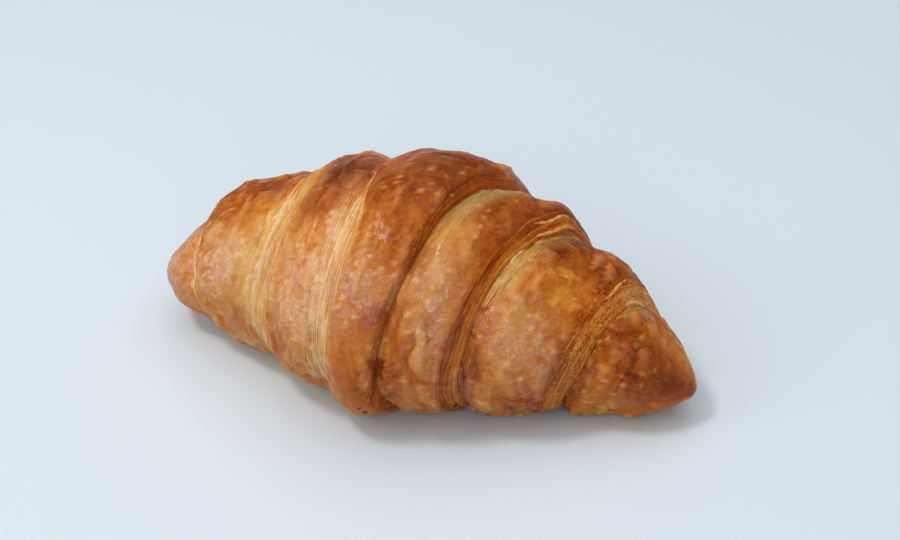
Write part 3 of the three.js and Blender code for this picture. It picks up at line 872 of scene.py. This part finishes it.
def crustFinish(toneGroup):
    look = crustLook
    finish, tree, shader = newFinish("eggWashedCrust", look)
    cut = attribute(tree, "cutEdge")
    bubble = attribute(tree, "bubble")
    blister = attribute(tree, "blister")
    bloom = attribute(tree, "bloom")
    furrow = attribute(tree, "furrow")
    smooth = attribute(tree, "smooth")
    along = attribute(tree, "alongEdge")
    place = nodeIn(tree, "ShaderNodeTexCoord").outputs["Object"]
    onSkin = minus(tree, 1, cut, clamp=True)
    onCut = times(tree, attribute(tree, "edgeLines"), cut)
    onFlank = times(tree, attribute(tree, "covered"), onSkin, clamp=True)

    lineGroup = leafLineGroup()

    def leafLines(across, key, wobble, seed, shown):
        # the lines and the leaves between them, where they show
        values = {"Place": times(tree, attribute(tree, across), look[key]), "Along": along, "Wobble": wobble,
                  "Seed": seed}
        lines = placeGroup(tree, lineGroup, values).outputs
        return times(tree, lines["Line"], shown), times(tree, minus(tree, lines["Leaf"], 0.5), shown)

    edgeLine, edgeLeaf = leafLines("leafPlace", "cutLines", 0.9, 1.7, onCut)
    shadeLine, shadeLeaf = leafLines("flankPlace", "flankLines", 0.7, 5.1, onFlank)

    # bubbles too small for the mesh, crowded where the skin is in bloom
    broken = noise(tree, place, look["brokenScale"], 3, 0.65)
    froth = noise(tree, place, look["frothScale"], 1.5, distortion=0.4)
    pores = noise(tree, place, look["poreScale"], 3, 0.6)
    bloomHere = times(tree, bloom, spread(tree, broken, 0.38, 0.62, 0.25, 1.0))
    fineBubble = times(tree, spread(tree, froth, 0.56, 0.70), timesPlus(tree, bloomHere, 0.85, 0.15))
    fineBubble = times(tree, fineBubble, onSkin)

    marks = {"edgeLine": edgeLine, "edgeLeaf": edgeLeaf, "shadeLeaf": shadeLeaf, "shadeLine": shadeLine,
             "bubble": bubble, "fineBubble": fineBubble, "blister": blister, "furrow": furrow}
    tone = attribute(tree, "tone")
    for key, mark in marks.items():
        tone = timesPlus(tree, mark, look["toneShifts"][key], tone)
    fuzz = times(tree, attribute(tree, "fuzz"), cut)
    tone = timesPlus(tree, minus(tree, pores, 0.5), times(tree, fuzz, -1.0), tone)
    values = {"Tone": tone, "Warmth": timesPlus(tree, cut, -0.6, 0.75)}
    baked = placeGroup(tree, toneGroup, values | look["tone"]).outputs

    golden = times(tree, smooth, look["goldenShare"])
    colour = mixColour(tree, golden, baked["Color"], warmth["golden"], "MULTIPLY")
    ruddy = timesPlus(tree, furrow, 0.7, attribute(tree, "ruddy"))
    redShare = spread(tree, broken, 0.36, 0.6, 0.3, 0.8)
    ruddy = timesPlus(tree, attribute(tree, "red"), redShare, ruddy, clamp=True)
    colour = mixColour(tree, ruddy, colour, warmth["ruddy"], "MULTIPLY")
    swollen = times(tree, blister, timesPlus(tree, bloom, 0.14, 0.09))
    pale = times(tree, calc(tree, "MAXIMUM", bubble, fineBubble), timesPlus(tree, bloomHere, 0.3, 0.25))
    # painted shade: the covered flank's pale dough mixed towards a greenish shaded colour
    shaded = times(tree, attribute(tree, "greenShade"), spread(tree, attribute(tree, "coveredShiftAndShade"), 0.05, -0.05))
    shaded = times(tree, shaded, minus(tree, onSkin, times(tree, shadeLine, 0.7)), clamp=True)
    bloomed = times(tree, bloomHere, look["bloomShare"])
    for share, key in ((bloomed, "bloomColour"), (swollen, "blisterColour"), (pale, "bubbleColour"),
                       (shaded, "shadedColour")):
        colour = mixColour(tree, share, colour, look[key])
    tree.links.new(colour, shader.inputs["Base Color"])

    gloss = spread(tree, baked["Unevenness"], 0.35, 0.65, 0.26, 0.46)
    gloss = timesPlus(tree, cut, 0.14, gloss)
    gloss = timesPlus(tree, bloomHere, -0.08, gloss, clamp=True)
    tree.links.new(gloss, shader.inputs["Roughness"])
    washed = timesPlus(tree, smooth, 0.12, look["shader"]["Coat Weight"])
    washed = timesPlus(tree, attribute(tree, "mark"), 0.6, washed)
    tree.links.new(times(tree, washed, onSkin, clamp=True), shader.inputs["Coat Weight"])

    height = times(tree, pores, timesPlus(tree, fuzz, 2.0, 0.75))
    height = timesPlus(tree, froth, timesPlus(tree, bloomHere, 1.0, 0.5), height)
    height = timesPlus(tree, edgeLine, -0.9, height)
    height = timesPlus(tree, shadeLine, -0.5, height)
    roughen(tree, shader, height, look)
    return finish


# thin leaves and crumbs, dry and matt
dryLook = {
    "shader": {"Roughness": 0.5, "Coat Weight": 0.05, "Coat Roughness": 0.3, "Specular IOR Level": 0.12},
    "tone": {"Patches": 0.12, "Patch Size": 6 * mm, "Speckle": 0.08, "Speckle Size": 1.1 * mm, "Warmth": 0.3},
    "grainScale": 2200,          # per metre
    "bumpStrength": 0.4,
    "bumpDistance": 0.2 * mm,
}


def dryFinish(toneGroup):
    look = dryLook
    finish, tree, shader = newFinish("dryLeaf", look)
    baked = placeGroup(tree, toneGroup, {"Tone": attribute(tree, "tone")} | look["tone"])
    tree.links.new(baked.outputs["Color"], shader.inputs["Base Color"])
    grain = noise(tree, nodeIn(tree, "ShaderNodeTexCoord").outputs["Object"], look["grainScale"], 2)
    roughen(tree, shader, grain, look)
    return finish


# thin edges of the dough's leaves, which stand a little out of the cut edges
leafEdges = {
    "seed": 11,
    "sides": 7,
    "step": 2.0,                 # degrees between two points of an edge
    "from": -58,
    "to": 108,
    "length": (14, 60),          # degrees
    "gap": (4, 26),
    "drift": 0.28,               # millimetres
    "waves": [(5, 9), (14, 30)],  # degrees, drawn between the two
    "sunk": 0.52,                # share of a lip's thickness below the skin
    "startWithin": 20,           # degrees
    "shortest": 8,
    "thicknessShare": (0.6, 1.1),
    "toneSpread": 0.05,
    # crease counted from the left tip, number across the cut, thickness in millimetres, tone
    "rows": [(1, 3, 0.17, 0.24), (2, 4, 0.18, 0.08), (4, 5, 0.19, 0.46), (5, 5, 0.20, 0.38)],
    # crease, millimetres into the cut, from angle, to angle, thickness, tone
    "lips": [
        (0, 0.2, -30, 72, 0.50, 0.10), (1, 0.1, 8, 84, 0.45, 0.04), (2, 0.1, 10, 86, 0.45, 0.02),
        (2, 1.1, 30, 78, 0.35, 0.03), (4, 0.6, 84, 118, 0.70, 0.34), (4, 3.2, 90, 124, 0.65, 0.32),
        (5, 0.3, 80, 110, 0.70, 0.20), (5, 4.2, 70, 104, 0.60, 0.30), (4, 0.3, 48, 76, 0.75, 0.20),
    ],
}


def leafEdgeLines(name, shift):
    # polylines on the roll; the node tree below gives them thickness
    chance = np.random.default_rng(leafEdges["seed"])
    places, edges, radii, toneValues = [], [], [], []

    def sunk(points, thickness):
        # towards the roll's axis by a share of the thickness
        axis = np.stack([points[:, 0], smoothThrough(roll["sway"], points[:, 0]),
                         smoothThrough(roll["lift"], points[:, 0])
                         + roll["axisShare"] * smoothThrough(roll["height"], points[:, 0])], -1)
        outward = points - axis
        outward /= np.linalg.norm(outward, axis=1)[:, None]
        return points - outward * leafEdges["sunk"] * thickness

    def addLine(number, offset, start, end, thickness, tone, share=None):
        angles = np.arange(start, end + 0.1, leafEdges["step"])
        creases = creasesAt(angles)
        one = creases[number]
        along = (angles - start) / (end - start)
        wander = sum(np.sin(angles / chance.uniform(*waves) + chance.uniform(0, 6)) * leafEdges["drift"]
                     for waves in leafEdges["waves"])
        inward = one["width"] * share if share else offset
        x = one["x"] - one["side"] * np.maximum(0, inward + wander)
        points, _ = shapeOver(x, angles, creases)
        if not share:
            points = sunk(points, thickness)
        taper = np.clip(np.sin(np.pi * along), 0.02, 1) ** 0.45
        taper *= 0.8 + 0.2 * np.sin(angles * 0.9 + chance.uniform(0, 6))
        first = len(places)
        places.extend((points + shift) * mm)
        edges.extend((first + k, first + k + 1) for k in range(len(angles) - 1))
        radii.extend(thickness * taper * mm)
        toneShift = chance.uniform(-leafEdges["toneSpread"], leafEdges["toneSpread"])
        toneValues.extend(tone + toneShift + 0 * angles)

    for number, across, thickness, tone in leafEdges["rows"]:
        for k in range(across):
            start = leafEdges["from"] + chance.uniform(0, leafEdges["startWithin"])
            while start < leafEdges["to"]:
                end = min(start + chance.uniform(*leafEdges["length"]), leafEdges["to"])
                if end - start > leafEdges["shortest"]:
                    thin = thickness * chance.uniform(*leafEdges["thicknessShare"])
                    addLine(number, 0, start, end, thin, tone, (k + 0.6) / (across + 0.4))
                start = end + chance.uniform(*leafEdges["gap"])
    for number, offset, start, end, thickness, tone in leafEdges["lips"]:
        addLine(number, offset, start, end, thickness, tone)

    mesh = bpy.data.meshes.new(name)
    mesh.from_pydata([tuple(float(v) for v in place) for place in places], edges, [])
    keepValues(mesh, "radius", radii)
    keepValues(mesh, "tone", toneValues)
    return placed(name, mesh)


def leafEdgeTree():
    inputs = {"material": ("NodeSocketMaterial", None), "sides": ("NodeSocketInt", leafEdges["sides"])}
    tree, entry = geometryTree("leafEdges", inputs)
    line = nodeIn(tree, "GeometryNodeMeshToCurve", {"Mesh": entry.outputs[0]}).outputs[0]
    values = {"Resolution": entry.outputs["sides"], "Radius": 1.0}
    ring = nodeIn(tree, "GeometryNodeCurvePrimitiveCircle", values).outputs[0]
    values = {"Curve": line, "Profile Curve": ring, "Scale": named(tree, "radius"), "Fill Caps": True}
    finishTree(tree, entry, nodeIn(tree, "GeometryNodeCurveToMesh", values).outputs[0])
    return tree


# burnt crumbs that cling to the foot
crumbs = {
    "density": 90000.0,          # per square metre
    "apart": 1.1 * mm,
    "smallest": 0.35 * mm,
    "largest": 0.9 * mm,
    "flatness": 0.6,
    "length": (0.5, 1.1),        # share of the width
    "bentBy": 0.9,
    "bendScale": 1.1,
    "burnt": 0.86,               # tone
    "seed": 5,
}


def footCrumbTree():
    numbers = ("density", "apart", "smallest", "largest", "flatness", "burnt")
    inputs = {key: ("NodeSocketFloat", crumbs[key]) for key in numbers}
    tree, entry = geometryTree("footCrumbs", inputs | {"seed": ("NodeSocketInt", crumbs["seed"]),
                                                        "material": ("NodeSocketMaterial", None)})
    given = entry.outputs
    position = nodeIn(tree, "GeometryNodeInputPosition").outputs[0]

    def randomFrom(low, high, step):
        seed = calc(tree, "ADD", given["seed"], step) if step else given["seed"]
        values = {2: low, 3: high, "Seed": seed}
        return nodeIn(tree, "FunctionNodeRandomValue", values, data_type="FLOAT").outputs[1]

    room = times(tree, named(tree, "crumb"), spread(tree, axisOf(tree, position, 2), 1.2 * mm, 2.0 * mm))
    values = {"Mesh": given[0], "Distance Min": given["apart"], "Density Max": given["density"],
              "Density Factor": room, "Seed": given["seed"]}
    spots = nodeIn(tree, "GeometryNodeDistributePointsOnFaces", values, distribute_method="POISSON").outputs
    chip = nodeIn(tree, "GeometryNodeMeshIcoSphere", {"Radius": 1.0, "Subdivisions": 2}).outputs[0]
    bent = noise(tree, position, crumbs["bendScale"], 2, output="Color")
    push = scaled(tree, vectorCalc(tree, "SUBTRACT", bent, (0.5, 0.5, 0.5)), crumbs["bentBy"])
    chip = nodeIn(tree, "GeometryNodeSetPosition", {"Geometry": chip, "Offset": push}).outputs[0]
    wide = randomFrom(given["smallest"], given["largest"], 0)
    long = randomFrom(*crumbs["length"], 1)
    size = asVector(tree, wide, times(tree, wide, long), times(tree, wide, given["flatness"]))
    turned = asVector(tree, 0.0, 0.0, randomFrom(0.0, 6.28, 2))
    values = {"Rotation": spots["Rotation"], "Rotate By": turned}
    spin = nodeIn(tree, "FunctionNodeRotateRotation", values, rotation_space="LOCAL").outputs[0]
    values = {"Points": spots["Points"], "Instance": chip, "Rotation": spin, "Scale": size}
    scattered = nodeIn(tree, "GeometryNodeInstanceOnPoints", values).outputs[0]
    scattered = stored(tree, scattered, "tone", given["burnt"], "INSTANCE")
    finishTree(tree, entry, scattered)
    return tree


def handOver(piece, finish):
    piece.data.materials.clear()
    piece.data.materials.append(finish)
    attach(piece, "root")


toneGroup = bakedToneGroup()
crust = crustFinish(toneGroup)
dryLeaf = dryFinish(toneGroup)
dough, shift = rolledDough("croissantBody")
paintBake(dough)
settle(dough, crustReliefTree(), relief | {"material": crust})
handOver(dough, crust)
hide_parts("croissant")

edges = leafEdgeLines("peelingLeaves", shift)
settle(edges, leafEdgeTree(), {"material": dryLeaf, "sides": leafEdges["sides"]})
handOver(edges, dryLeaf)

clinging = placed("footCrumbs", dough.data.copy())
settle(clinging, footCrumbTree(), crumbs | {"material": dryLeaf})
handOver(clinging, dryLeaf)
print("body done")


studio = {
    "shader": {"Base Color": (0.66, 0.75, 0.84, 1), "Roughness": 0.55, "Coat Weight": 0.0,
               "Coat Roughness": 0.2, "Specular IOR Level": 0.2},
    "floorSize": 8.0,
    "worldColour": (1.0, 0.97, 0.93, 1),
    "worldStrength": 0.28,
    "floorDrop": 0.1 * mm,
    "aim": (0, 0, 0.03),
    # place, size, watts, colour
    "lamps": {
        "overhead": ((0.05, 0.1, 1.3), (1.8, 1.6), 9.4, (1.0, 1.0, 1.0)),
        "leftWindow": ((-0.9, -0.55, 0.75), (0.7, 0.7), 2.4, (1.0, 0.98, 0.95)),
        "frontFill": ((0.2, -1.2, 0.9), (1.4, 0.9), 5.0, (1.0, 0.98, 0.96)),
        "glints": ((-0.35, -0.25, 1.0), (0.18, 0.18), 3.2, (1.0, 0.98, 0.94)),
    },
}


def makeFloor():
    half = studio["floorSize"] / 2
    mesh = bpy.data.meshes.new("floor")
    corners = [(-half, -half, 0), (half, -half, 0), (half, half, 0), (-half, half, 0)]
    mesh.from_pydata(corners, [], [(0, 1, 2, 3)])
    floor = placed("floor", mesh)
    floor.location.z = -studio["floorDrop"]
    mesh.materials.append(newFinish("paleGround", studio)[0])


def softLight(name, place, aim, size, watts, colour):
    lamp = bpy.data.lights.new(name, "AREA")
    lamp.shape = "RECTANGLE"
    lamp.size, lamp.size_y = size
    lamp.energy = watts
    lamp.color = colour
    holder = placed(name, lamp)
    holder.location = place
    holder.rotation_euler = (Vector(aim) - Vector(place)).to_track_quat("-Z", "Y").to_euler()


def lightStudio():
    world = bpy.data.worlds.new("paleRoom")
    world.use_nodes = True
    back = world.node_tree.nodes["Background"]
    back.inputs["Color"].default_value = studio["worldColour"]
    back.inputs["Strength"].default_value = studio["worldStrength"]
    bpy.context.scene.world = world
    for name, (place, size, watts, colour) in studio["lamps"].items():
        softLight(name, place, studio["aim"], size, watts, colour)


eye = {
    "lens": 70,                  # millimetres
    "sensor": 36,
    "distance": 517.2 * mm,
    "target": (-7.51 * mm, 43.12 * mm, 0),
    "azimuth": 22.1,
    "elevation": 36.5,
    "roll": -2.5,
    "nearest": 10 * mm,
}


def placeCamera():
    turn, rise, roll = (math.radians(eye[key]) for key in ("azimuth", "elevation", "roll"))
    back = Vector((math.sin(turn) * math.cos(rise), -math.cos(turn) * math.cos(rise), math.sin(rise)))
    right = Vector((0, 0, 1)).cross(back).normalized()
    up = back.cross(right)
    side = right * math.cos(roll) + up * math.sin(roll)
    top = up * math.cos(roll) - right * math.sin(roll)
    data = bpy.data.cameras.new("camera")
    data.lens = eye["lens"]
    data.sensor_width = eye["sensor"]
    data.sensor_fit = "HORIZONTAL"
    data.clip_start = eye["nearest"]
    camera = placed("camera", data)
    place = Vector(eye["target"]) + back * eye["distance"]
    turned = Matrix((side, top, back)).transposed().to_4x4()
    camera.matrix_world = Matrix.Translation(place) @ turned
    bpy.context.scene.camera = camera


makeFloor()
lightStudio()
placeCamera()
bpy.context.scene.view_settings.view_transform = "Standard"
print("studio done")
